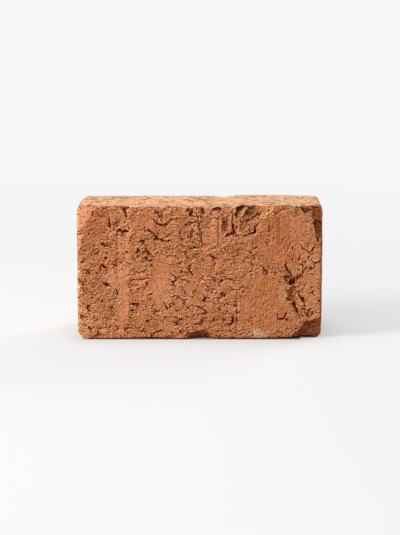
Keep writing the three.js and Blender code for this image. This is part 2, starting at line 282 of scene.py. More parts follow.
# Tinted places on the front: centre, half sizes, turn, colour, share, and the least depth below
# the face that takes the tint, or one of two words for a tint that takes at any depth
anyDepth = -1
patchily = -2
tints = {
    # the left end
    "leftCorner": ((-99, 105), (9, 14), 0, "facet", 0.75, 0.4),
    # a painted highlight along the left arris, where it turns towards the window lamp
    "leftArris": ((-104.5, 55), (3.2, 50), 0, "sandy", 0.75, anyDepth),
    "besideCorner": ((-88, 101), (9, 17), -20, "dark", 0.55, anyDepth),
    "underCorner": ((-97, 80), (7, 11), 0, "umber", 0.45, anyDepth),
    "leftHollows": ((-85, 45), (6, 14), 0, "umber", 0.35, anyDepth),
    "leftBand": ((-92, 62), (5, 14), 0, "umber", 0.3, anyDepth),
    "leftBase": ((-99, 14), (8, 14), 0, "sandy", 0.5, anyDepth),
    "baseCorner": ((-100, 6), (7, 7), 0, "orange", 0.4, anyDepth),
    # the torn left half
    "mauve": ((-49, 102), (9, 6), 0, "purple", 0.5, anyDepth),
    "wireTop": ((-66, 90), (6, 20), 0, "pale", 0.4, anyDepth),
    "wireBand": ((-68, 34), (5, 28), 0, "pale", 0.2, anyDepth),
    "palePatch": ((-73, 54.5), (10, 7.5), 0, "pale", 0.4, anyDepth),
    "belowMauve": ((-55, 86), (16, 6), 0, "dark", 0.12, anyDepth),
    "smoothTop": ((-35, 67), (13, 10), 0, "red", 0.35, anyDepth),
    "smoothColumn": ((-31, 38), (8, 20), 0, "pale", 0.4, anyDepth),
    "lowColumn": ((-26, 16), (9, 12), 0, "pale", 0.3, anyDepth),
    "middle": ((-12, 42), (9, 15), 0, "pale", 0.35, anyDepth),
    "lowTears": ((-1, 29), (7, 7), 0, "pale", 0.4, anyDepth),
    "middleTop": ((-15, 99), (6, 7), 0, "dark", 0.35, anyDepth),
    "lowGrains": ((-45, 8), (16, 7), 0, "dark", 0.3, anyDepth),
    "lowMiddleBase": ((22, 14), (10, 12), 0, "dark", 0.3, anyDepth),
    "besideGroove": ((14, 100), (4, 14), 0, "pale", 0.4, anyDepth),
    "dragGroove": ((-1, 97), (6, 12), 0, "pale", 0.45, anyDepth),
    "greyish": ((33, 80), (7, 6), 0, "umber", 0.35, anyDepth),
    "lowCentre": ((38, 22), (7, 14), 0, "pale", 0.2, anyDepth),
    "middleRight": ((26, 65), (8, 6), 0, "dark", 0.35, anyDepth),
    "besideMiddle": ((53, 64), (8, 6), 0, "umber", 0.3, anyDepth),
    # the smoother right half
    "upperRight": ((74, 86), (27, 24), 0, "smooth", 0.6, anyDepth),
    "brownColumns": ((66, 97), (8, 16), 0, "dark", 0.4, anyDepth),
    "besideColumns": ((85, 96), (9, 13), 0, "pink", 0.5, anyDepth),
    "rightVeins": ((80, 78), (14, 6), 0, "red", 0.15, anyDepth),
    "lowerRight": ((57, 30), (24, 27), 0, "smooth", 0.7, anyDepth),
    "lipBand": ((64, 48), (9, 12), 0, "red", 0.3, anyDepth),
    "rightColumn": ((98, 50), (9, 32), 0, "pale", 0.5, anyDepth),
    "rightTorn": ((93, 74), (9, 15), 0, "pale", 0.35, anyDepth),
    "splitHead": ((80, 61), (7, 5), 0, "pale", 0.4, anyDepth),
    "splitFoot": ((81, 27), (5, 9), 0, "pale", 0.35, anyDepth),
    # the hollow, the split and the corners
    "underArris": ((45, 110.5), (9, 5.5), 25, "plum", 0.65, anyDepth),
    "hollowPit": ((35, 111), (4.5, 5), 0, "plum", 0.7, anyDepth),
    "hollowRidge": ((37.6, 112.2), (4.2, 1.0), 50, "sandy", 0.9, anyDepth),
    "hollow": ((42, 99), (12, 9), 0, "pale", 0.25, anyDepth),
    "hollowSide": ((23.5, 100.5), (5, 11), 0, "purple", 0.45, anyDepth),
    "sideRidge": ((29.8, 103), (1.2, 8), 0, "sandy", 0.7, anyDepth),
    # bright orange bared clay, partly a painted highlight on its slope that faces the window lamp
    "scarAndHighlight": ((57.5, 111), (8.5, 3.3), 50, "orange", 1.0, anyDepth),
    "splitRoom": ((79.2, 40.3), (4.6, 6), 0, "red", 0.8, 0.8),
    "splitLip": ((72, 42), (4, 11), -12, "pale", 0.7, anyDepth),
    "rightCorner": ((97, 112), (14, 9), 0, "shaded", 0.85, 0.5),
    "rightArris": ((103, 95), (9, 16), 0, "shaded", 0.8, 0.35),
    "rightBase": ((98, 8), (20, 14), 0, "red", 0.55, 0.4),
    "rightBaseFoot": ((98, 8), (12, 6), 0, "ember", 0.7, 0.4),
    # a near-black spot at the top of the chip by the base's right corner
    "rightBaseDarkSpot": ((93, 13.4), (3.6, 2.2), -20, "deep", 0.8, anyDepth),
    "baseStrip": ((0, 2), (110, 6), 0, "red", 0.4, anyDepth),
    "limeSmear": ((51, 5), (9, 4.5), 0, "lime", 0.9, patchily),
    "limeTrace": ((62, 8), (5, 3), 20, "lime", 0.4, patchily),
}


# Cracks on the front that are too fine for the solid, or that run on from its own. Each point
# is a place and half the width that the crack has there.
strokes = [
    # the split by the right end
    [(74.9, 68, 0.3), (73.4, 64.8, 0.95), (76.2, 60.8, 0.5), (78.9, 56.8, 0.25)],
    [(73, 54.5, 0.7), (77.8, 54.6, 0.6)],
    [(81.4, 54, 0.8), (81.6, 51.5, 0.9), (79.6, 49.7, 1.6), (77.3, 48.3, 0.8)],
    [(88.4, 62.1, 0.3), (88.7, 58.5, 0.7), (86.3, 55.3, 0.3)],
    [(90.9, 62, 0.7), (90.4, 60.3, 0.4)],
    [(80.4, 46.4, 0.4), (84.9, 40.2, 0.45), (87, 36.8, 0.7), (89.6, 33.3, 0.4)],
    [(90.3, 26, 0.5), (92.1, 20.8, 0.4)],
    [(74.9, 35.3, 0.7), (80.6, 34.7, 0.7)],
    [(81.2, 33.8, 0.9), (81.9, 28.5, 1.2), (82.9, 26.6, 0.5), (85.3, 21.8, 0.45),
     (86.8, 17.4, 0.3)],
    # the curl and the pits round it
    [(67.6, 22.6, 0.3), (66.7, 21.2, 0.6), (67.3, 19.8, 0.4)],
    [(69.5, 17.4, 0.3), (71.8, 18, 0.45), (73.6, 20.4, 0.75), (74.6, 23.1, 0.95)],
    [(102.6, 34, 1.1), (102.8, 33.4, 1.0)],
    [(97, 42, 0.6), (97.6, 41.8, 0.6)],
    [(84.5, 10, 0.5), (85, 8, 0.4)],
    # veins above the split
    [(95.4, 76.9, 0.5), (97.4, 79.5, 0.75), (99.4, 81.7, 0.35)],
    [(86.5, 82.4, 0.3), (88.6, 79.3, 0.35), (92.4, 78, 0.35), (94, 74.8, 0.35)],
    [(92.4, 84.5, 0.3), (92.9, 79.1, 0.3)],
    [(95.1, 87.8, 0.3), (94, 81.8, 0.3)],
    [(79.9, 81, 0.7), (79.7, 78.5, 0.5)],
    [(80.1, 74.2, 0.35), (79.8, 69.9, 0.5)],
    [(86, 73, 0.5), (84.9, 68.7, 0.5)],
    [(88.4, 67.8, 0.7), (88.3, 66.8, 0.5)],
    [(94, 72.5, 0.6), (92.8, 70.8, 0.5)],
    [(90.6, 69, 0.4), (90.2, 66.5, 0.4)],
    [(71, 87.3, 0.6), (70.2, 85.8, 0.4)],
    [(57, 85, 0.6), (58.2, 82.5, 0.5)],
    # along the broken corner at the top
    [(86, 115, 0.5), (88.2, 113.4, 0.9), (90.5, 110.2, 0.5)],
    [(97.9, 105, 0.3), (98.5, 100.5, 0.7), (100, 92, 0.5), (101.6, 85.8, 0.95)],
    # the hollow under the top arris
    [(31.9, 113.4, 0.8), (34.6, 114.3, 1.3), (38.5, 116, 0.9)],
    [(31.6, 109.5, 0.9), (32, 106, 0.8)],
    [(51.6, 110.6, 0.5), (47.3, 107.3, 0.8), (43, 104.9, 0.7), (37.6, 102.8, 0.5)],
    [(50.3, 100.7, 0.6), (49, 99.3, 0.75), (46.4, 97.7, 0.5)],
    [(47.4, 97.2, 0.5), (47.2, 94.5, 0.7), (44.2, 92.1, 0.6)],
    [(42.3, 91.9, 0.6), (38.2, 90.3, 0.75)],
    [(31.9, 98.6, 0.8), (31, 97, 0.6)],
    [(28.4, 109.4, 0.4), (27.6, 102.4, 0.5), (29.3, 94.5, 0.6), (32.7, 90.2, 0.4)],
    [(22.8, 90.2, 1.0), (25.4, 91.5, 0.7), (29.3, 92.3, 0.6)],
    [(17.5, 113, 0.8), (16.7, 110.5, 0.5)],
    [(-2.6, 110, 0.4), (-0.4, 101, 0.3)],
    [(1.4, 92, 0.3), (2.6, 82, 0.45)],
    # the torn left half, from the top down
    [(-64, 113.6, 1.4), (-62.2, 106.5, 0.8)],
    [(-36.2, 111, 0.5), (-33.8, 106.6, 0.8)],
    [(-31.3, 109.5, 0.5), (-32.4, 104.8, 0.7)],
    [(-39.5, 104.3, 0.4), (-36, 100.7, 0.9), (-32, 99.5, 0.8), (-28, 101.8, 0.6),
     (-24.2, 104.3, 0.4)],
    [(-77, 100.5, 1.2), (-76, 98, 0.6)],
    [(-70.8, 95, 0.5), (-67.3, 95.9, 0.65)],
    [(-65.4, 94.1, 0.6), (-61.8, 94.7, 0.75)],
    [(-43.5, 95.5, 1.0), (-38.3, 91.9, 0.6), (-36, 87.9, 0.8), (-39, 87.1, 0.6)],
    [(-36, 88.2, 0.6), (-29.7, 85.6, 0.9), (-24.2, 86.3, 0.6)],
    [(-50.4, 86.2, 0.8), (-47.3, 86, 1.1)],
    [(-83, 83.5, 1.2), (-79.8, 81.6, 0.8)],
    [(-45.8, 79.2, 0.6), (-43.9, 76, 0.7), (-39.9, 72.5, 0.5)],
    [(-62.2, 76.4, 1.1), (-61.6, 75.9, 0.8)],
    [(-99.8, 61, 0.6), (-96.4, 61, 0.5), (-94.2, 57.4, 0.8)],
    [(-83.5, 65, 1.4), (-79, 62, 0.6), (-80.5, 57, 0.5)],
    [(-83.2, 49.8, 0.4), (-80.5, 48.2, 0.8), (-76, 46.4, 0.4)],
    [(-58.5, 25, 0.8), (-53.4, 25.7, 0.5)],
    [(-60, 30.8, 0.6), (-52.5, 31, 1.1)],
    [(-45.6, 16, 1.1), (-41.3, 17, 1.0)],
    [(-31, 32.8, 0.5), (-27.5, 26.6, 0.8)],
    [(-23.2, 56.5, 0.6), (-19.8, 54, 0.7)],
    [(-9.5, 61.8, 0.5), (-6, 56.5, 0.8)],
    [(-71.4, 43.3, 0.6), (-69.7, 39, 0.6)],
    [(-1, 22, 0.5), (6, 23, 0.8)],
    [(22.4, 53, 0.5), (28.4, 53, 0.8)],
]


# 1 on the torn front, and a fall to 0 round its arrises
def frontShare(y):
    return y.rise(-20, -26)


# How deep below the torn front a place lies, or how deep a chip has bared it
def frontDepth(y, chip):
    return (y - frontAt).atLeast(chip)


# A place in the patterns, which each seed moves on
def patternPlace(place, size):
    return place + size["seed"] * 3.1


# Noise of small patches, which the clay's colours and the lime share
def patches(bench, at):
    return bench.noise(at / 3.0, detail=3.0, roughness=0.65)


# How far a place on the front is from the nearest stroke, counted in half widths of it
def strokeReach(bench, place):
    bent = place + bench.sway(place / 1.8, detail=2.0) * 1.8
    x, _, z = bent.axes()
    spot = bench.vector(x, 0.0, z)
    nearest = None
    for points in strokes:
        for (x0, z0, width0), (x1, z1, width1) in zip(points, points[1:]):
            run = Vector((x1 - x0, 0, z1 - z0))
            away = spot - (x0, 0.0, z0)
            along = away.dot(tuple(run / run.length_squared)).atLeast(0).atMost(1)
            width = along * (width1 - width0) + width0
            reach = (away - along * tuple(run)).length() / width
            nearest = reach if nearest is None else nearest.atMost(reach)
    return nearest


# 1 inside an oval on the front and 0 outside it; the wander makes its edge ragged
def oval(bench, place, wander, centre, halfSize, turn=0.0):
    x, _, z = place.axes()
    along = x - centre[0]
    up = z - centre[1]
    if turn:
        cosine, sine = math.cos(math.radians(turn)), math.sin(math.radians(turn))
        along, up = along * cosine + up * sine, up * cosine - along * sine
    reach = bench.vector(along / halfSize[0], 0.0, up / halfSize[1]).length()
    return (reach + wander).rise(1.18, 0.82)


def edgeWander(bench, place):
    return (bench.noise(place / 5.0, detail=3.0, roughness=0.6) - 0.5) * 0.7


# How deep the chips reach in at a place, before they are cut off at the face
def chipDepth(bench, place):
    bent = place + bench.sway(place / 5.0, detail=3.0) * 2.0
    x, _, z = bent.axes()
    deepest = 0.0
    for lines, most in chips.values():
        depth = None
        for (x0, z0), (x1, z1), slope in lines:
            lean = Vector((z0 - z1, x1 - x0)).normalized() * slope
            here = (x - x0) * lean.x + (z - z0) * lean.y
            depth = here if depth is None else depth.atMost(here)
        deepest = depth.atMost(most).atLeast(deepest)
    return deepest


# The torn clay over the place it is asked for. The skin's shape and its material both use it,
# so that colour and fine relief fall in with the real steps.
def tornClay(bench, place, size):
    at = place + size["seed"] * 13.0
    drift = bench.sway(at / 13.0, detail=2.0)
    ruffle = bench.sway(at / 2.2, detail=2.0)
    fray = bench.noise(at / 1.1 + 7.0, detail=2.0)

    # Rows of tears, each with a lip of clay lifted above it and a hollow below. The rows lie
    # along the brick, and a row is torn only in places.
    def tears(bent, period, along, lean, width, shown, seed):
        x, y, z = bent.axes()
        lift = bench.noise(bent / (along * 1.2) + seed, detail=1.0) - 0.5
        phase = (z + y * 0.9 + x * lean) / period + lift * 2.4
        row = phase.nearest()
        off = phase - row
        chance = bench.noise(bench.vector(x / along, row * 3.7, y / along) + seed, detail=1.0)
        gape = chance.rise(shown, shown + 0.13)
        isAbove = off > 0
        lip = (1 - off / 0.42).atLeast(0) ** 2 * isAbove * gape
        hollow = (1 + off / 0.48).atLeast(0) ** 2 * (1 - isAbove) * gape
        reach = abs(off * period + width * 0.4) / (gape * width * (0.5 + fray) + 0.001)
        return lip, hollow, reach.rise(1.15, 0.45) * gape.rise(0.02, 0.25)

    wide = tears(at + drift * 8.0 + ruffle * 1.8, 7.5, 7.0, 0.10, 0.75, 0.52, 20.0)
    slant = tears(at + drift * 12.0 + ruffle * 1.6, 13.0, 6.0, -0.9, 0.6, 0.57, 50.0)
    fine = tears(at + drift * 5.0 + ruffle * 1.2, 2.7, 3.1, 0.05, 0.42, 0.48, 80.0)
    crumb = bench.noise(at / 1.9, detail=3.0, roughness=0.65) - 0.5
    tone = bench.noise(at / (5.0, 5.0, 3.0) + 33.0, detail=3.0, roughness=0.6)
    return {
        "wideLip": wide[0].atLeast(slant[0]),
        "wideHollow": wide[1].atLeast(slant[1]),
        "wideSeam": wide[2].atLeast(slant[2]),
        "fineLip": fine[0],
        "fineHollow": fine[1],
        "fineSeam": fine[2],
        "crumb": crumb,
        "tone": tone,
    }


# The largest share that any of the listed ovals has at a place on the front
def spread(bench, place, spots):
    most = 0.0
    wander = edgeWander(bench, place)
    for centre, halfSize, share in spots.values():
        most = (oval(bench, place, wander, centre, halfSize) * share).atLeast(most)
    return most * frontShare(place.axes()[1])


# A geometry tree with the given settings and a material as its inputs
def newTree(name, settings):
    tree = bpy.data.node_groups.new(name, "GeometryNodeTree")
    tree.is_modifier = True
    tree.interface.new_socket("Geometry", in_out="INPUT", socket_type="NodeSocketGeometry")
    identifiers = {}
    for label, value in settings.items():
        socket = tree.interface.new_socket(label, in_out="INPUT", socket_type="NodeSocketFloat")
        socket.default_value = float(value)
        identifiers[label] = socket.identifier
    kind = "NodeSocketMaterial"
    socket = tree.interface.new_socket("material", in_out="INPUT", socket_type=kind)
    identifiers["material"] = socket.identifier
    tree.interface.new_socket("Geometry", in_out="OUTPUT", socket_type="NodeSocketGeometry")
    bench = Bench(tree)
    given = bench.node("NodeGroupInput", {}, {})
    return bench, {socket.name: Value(bench, socket) for socket in given.outputs[:-1]}, identifiers


def endTree(bench, geometry, material):
    real = bench.add("GeometryNodeRealizeInstances", {}, {"Geometry": geometry})
    sockets = {"Geometry": real, "Material": material}
    finished = bench.add("GeometryNodeSetMaterial", {}, sockets)
    bench.node("NodeGroupOutput", {}, {"Geometry": finished})


# What tears the skin. A value that is needed more than once is stored, and read by its name.
def weatheringTree(settings):
    bench, size, identifiers = newTree("weathering", settings)
    geometry = size["Geometry"]

    def blurred(value, iterations):
        sockets = {"Value": value, "Iterations": iterations}
        return bench.add("GeometryNodeBlurAttribute", {"data_type": "FLOAT_VECTOR"}, sockets)

    position = bench.add("GeometryNodeInputPosition", {}, {})
    normal = bench.add("GeometryNodeInputNormal", {}, {})
    geometry = bench.stored(geometry, "place", position / mm, "FLOAT_VECTOR")
    place = bench.named("place", "FLOAT_VECTOR")
    x, y, z = place.axes()
    operation = {"operation": "NORMALIZE"}
    outward = bench.add("ShaderNodeVectorMath", operation, {0: blurred(normal, 4)})
    alongX, alongY, alongZ = [abs(axis) for axis in outward.axes()]
    bedFace = alongY.rise(0.35, 0.75)

    onFront = y < -20
    fromFront = y < -8
    geometry = bench.stored(geometry, "gape", strokeReach(bench, place), chosen=onFront)
    geometry = bench.stored(geometry, "chip", chipDepth(bench, place), chosen=fromFront)
    geometry = bench.stored(geometry, "calm", spread(bench, place, calmSpots), chosen=onFront)
    geometry = bench.stored(geometry, "fill", spread(bench, place, fills), chosen=onFront)
    gape = bench.named("gape")
    chip = bench.named("chip")
    calm = bench.named("calm")
    fill = bench.named("fill")

    # the bed faces and what is broken are torn, and the faces that the die pressed hardly so
    broken = alongX.atLeast(alongY).atLeast(alongZ).rise(0.97, 0.86)
    tearing = bedFace.atLeast(broken * 0.8).atLeast(size["dieFaceShare"]) * (1 - calm)
    geometry = bench.stored(geometry, "torn", tearing)
    sunk = (blurred(place, 16) - place).dot(outward) * (1 - fill * 0.7)
    geometry = bench.stored(geometry, "sunk", sunk)
    tearing = bench.named("torn")
    sunk = bench.named("sunk")

    torn = tornClay(bench, place, size)
    at = patternPlace(place, size)
    relief = torn["wideLip"] * size["wideLip"] - torn["wideHollow"] * size["wideTear"]
    relief = relief + torn["fineLip"] * size["fineLip"] - torn["fineHollow"] * size["fineTear"]
    lump = bench.noise(at / 7.0 + 11.0, detail=2.0) - 0.5
    relief = relief + torn["crumb"] * 2 * size["crumbHeight"] + lump * 2 * size["lumpHeight"]
    relief = relief * tearing
    wave = bench.noise(at / 26.0, detail=2.0) - 0.5
    grain = bench.noise(at / 0.9, detail=2.0) - 0.5
    relief = relief + wave * 2 * size["waveHeight"] + grain * 2 * size["grainHeight"]
    pitReach, pitChance = bench.cells(at / 4.2)
    pit = pitReach.rise(0.18, 0.06) * pitChance[0].rise(0.60, 0.66)
    seam = gape.rise(1.15, 0.55) * bedFace * frontShare(y)
    relief = relief * (1 - seam) - seam * size["strokeDepth"]
    arris = blurred(normal, 14).length().rise(0.98, 0.86)
    bite = bench.noise(at / 4.0, detail=3.0, roughness=0.6).rise(0.50, 0.64) * arris
    bite = bite * (0.4 + z.rise(1, 6) * 0.6)
    relief = relief - pit * size["pitDepth"] - bite * size["biteDepth"]

    # the solid's cracks are deepened, and its soft grooves eased where the skin is calm
    soft = sunk.atLeast(-0.3).atMost(0.3) * calm * size["calmEase"]
    relief = relief + soft - (sunk - 0.15).atLeast(0).atMost(1.5) * size["deepening"]

    # crumbs fill the deepest places, chips are cut off, and the left end is filled up to them
    depth = y - frontAt
    filled = (depth - 0.8).atLeast(0) * fill
    facing = (-outward.axes()[1]).rise(0.15, 0.45) * x.rise(-84, -88) * z.rise(50, 60)
    inwards = (chip - depth).atLeast(0) * y.rise(0, -4)
    inwards = inwards - (depth - chip).atLeast(0).atMost(9) * facing

    # the corners are round, and the top swells
    sideways = 0.0
    upwards = x.rise(28, 37) * x.rise(88, 80) * z.rise(111, 115) * size["topSwell"]
    for side, rising, centre, radius, fuller in roundCorners:
        outX = ((x - centre[0]) * side).atLeast(0)
        outZ = ((z - centre[1]) * rising).atLeast(0)
        reach = bench.vector(outX, 0.0, outZ).length() * (outX > 0) * (outZ > 0)
        grown = (radius / reach.atLeast(1.0) - 1) * reach.rise(radius * 0.72, radius * 0.85)
        if not fuller:
            grown = grown.atMost(0)
        sideways = outX * grown * side + sideways
        upwards = outZ * grown * rising + upwards

    rag = bench.sway(at / 4.0, detail=3.0, roughness=0.6) * 2 * size["rag"]
    shift = bench.vector(sideways, inwards - filled, upwards) + rag + outward * relief
    landed = (position + shift * mm).axes()
    offset = bench.vector(landed[0], landed[1], landed[2].atLeast(0)) - position
    geometry = bench.add("GeometryNodeSetPosition", {}, {"Geometry": geometry, "Offset": offset})
    ridge = (place - blurred(place, 12)).dot(normal)  # read after the move, as what stands out
    geometry = bench.stored(geometry, "ridge", ridge)
    endTree(bench, geometry, size["material"])
    return bench.tree, identifiers


# What stains the skin, and paints light and shade on some places of it. The tints add their
# colours to the clay's, and leave a share of it bare.
def stainsAndPaintedLightTree(settings):
    bench, size, identifiers = newTree("stainsAndPaintedLight", settings)
    place = bench.named("place", "FLOAT_VECTOR")
    y = place.axes()[1]
    isFront = frontShare(y)
    depth = frontDepth(y, bench.named("chip"))
    patchy = patches(bench, patternPlace(place, size)).rise(0.42, 0.58)
    wander = edgeWander(bench, place)
    bare = 1.0
    stain = (0.0, 0.0, 0.0)
    for centre, halfSize, turn, tint, share, least in tints.values():
        here = oval(bench, place, wander, centre, halfSize, turn) * share * isFront
        if least > 0:
            here = here * depth.rise(least - 0.25, least + 0.25)
        if least == patchily:
            here = here * patchy
        bare = (1 - here) * bare
        stain = (1 - here) * stain + here * tintColours[tint]
    geometry = bench.stored(size["Geometry"], "bare", bare)
    geometry = bench.stored(geometry, "stain", stain, "FLOAT_VECTOR")
    endTree(bench, geometry, size["material"])
    return bench.tree, identifiers


def meshFromNode(nodeName, name):
    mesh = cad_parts[nodeName].data.copy()
    mesh.materials.clear()
    made = bpy.data.objects.new(name, mesh)
    bpy.context.scene.collection.objects.link(made)
    return made


# Puts what an object's modifiers make of it in place of its mesh
def settle(made):
    bpy.context.view_layer.update()
    graph = bpy.context.evaluated_depsgraph_get()
    evaluated = made.evaluated_get(graph)
    mesh = bpy.data.meshes.new_from_object(
        evaluated, preserve_all_data_layers=True, depsgraph=graph
    )
    mesh.name = made.name
    made.modifiers.clear()
    made.data = mesh


def addTree(made, makeTree, settings, material):
    tree, identifiers = makeTree(settings)
    modifier = made.modifiers.new(tree.name, "NODES")
    modifier.node_group = tree
    for key, identifier in identifiers.items():
        modifier[identifier] = material if key == "material" else float(settings[key])


# How finely the skin is meshed
skinMesh = {
    "weldReach": 0.005,
    "voxel": 0.45,  # of the even mesh that is torn
    "triangles": 198000,  # left after thinning
    "finerBefore": -24,  # along y, where the front keeps finer triangles than the rest
    "finerWeight": 0.5,
    "weightFactor": 0.001,
}


def growSkin(settings, meshing, material):
    skin = meshFromNode("brick", "weathered_brick")
    weld = skin.modifiers.new("weld", "WELD")
    weld.merge_threshold = meshing["weldReach"] * mm
    even = skin.modifiers.new("even", "REMESH")
    even.mode = "VOXEL"
    even.voxel_size = meshing["voxel"] * mm
    addTree(skin, weatheringTree, settings, material)
    settle(skin)
    dense = sum(len(face.vertices) - 2 for face in skin.data.polygons)
    print("skin torn,", dense, "triangles")

    points = skin.data.vertices
    limit = meshing["finerBefore"] * mm
    frontPoints = [point.index for point in points if point.co.y < limit]
    share = skin.vertex_groups.new(name="thinning")
    share.add(list(range(len(points))), 1.0, "REPLACE")
    share.add(frontPoints, meshing["finerWeight"], "REPLACE")
    thin = skin.modifiers.new("thin", "DECIMATE")
    thin.ratio = min(1.0, meshing["triangles"] / dense)
    thin.use_collapse_triangulate = True
    thin.vertex_group = "thinning"
    thin.vertex_group_factor = meshing["weightFactor"]
    settle(skin)
    print("skin thinned to", len(skin.data.polygons), "triangles")
    addTree(skin, stainsAndPaintedLightTree, {"seed": settings["seed"]}, material)
    settle(skin)
    print("skin stained")
    return skin


# Colours and finish of the fired clay; some of the colours are also laid on as painted light and
# shade
firedClay = {
    "body": (0.63, 0.214, 0.077, 1),
    "pale": (0.765, 0.340, 0.160, 1),
    "pink": (0.64, 0.250, 0.122, 1),
    "ochre": (0.69, 0.282, 0.084, 1),
    "dark": (0.39, 0.085, 0.012, 1),
    "shaded": (0.39, 0.086, 0.013, 1),
    "deep": (0.215, 0.024, 0.001, 1),
    "sandy": (0.83, 0.400, 0.200, 1),
    "dust": (0.80, 0.505, 0.315, 1),
    "grain": (0.80, 0.66, 0.50, 1),
    "stain": (0.30, 0.100, 0.042, 1),
    # painted shade for the foot of the brick
    "contactShade": (0.05, 0.012, 0.002, 1),
    "roughness": 0.93,
    "bump": 1.15,
}


# White grit: place on the front and radius
grit = [
    (-10.6, 74.2, 0.8), (-42.7, 16.8, 0.8), (-41.3, 9.4, 0.9), (-2.7, 29.1, 0.6),
    (23.0, 24.0, 0.6), (-99.0, 24.4, 0.8), (-103.3, 45.5, 1.2), (-103.3, 59.6, 1.1),
    (-52.0, 5.7, 0.8), (24, 21, 0.6), (-103, 16, 0.7), (92.6, 101, 0.6),
]


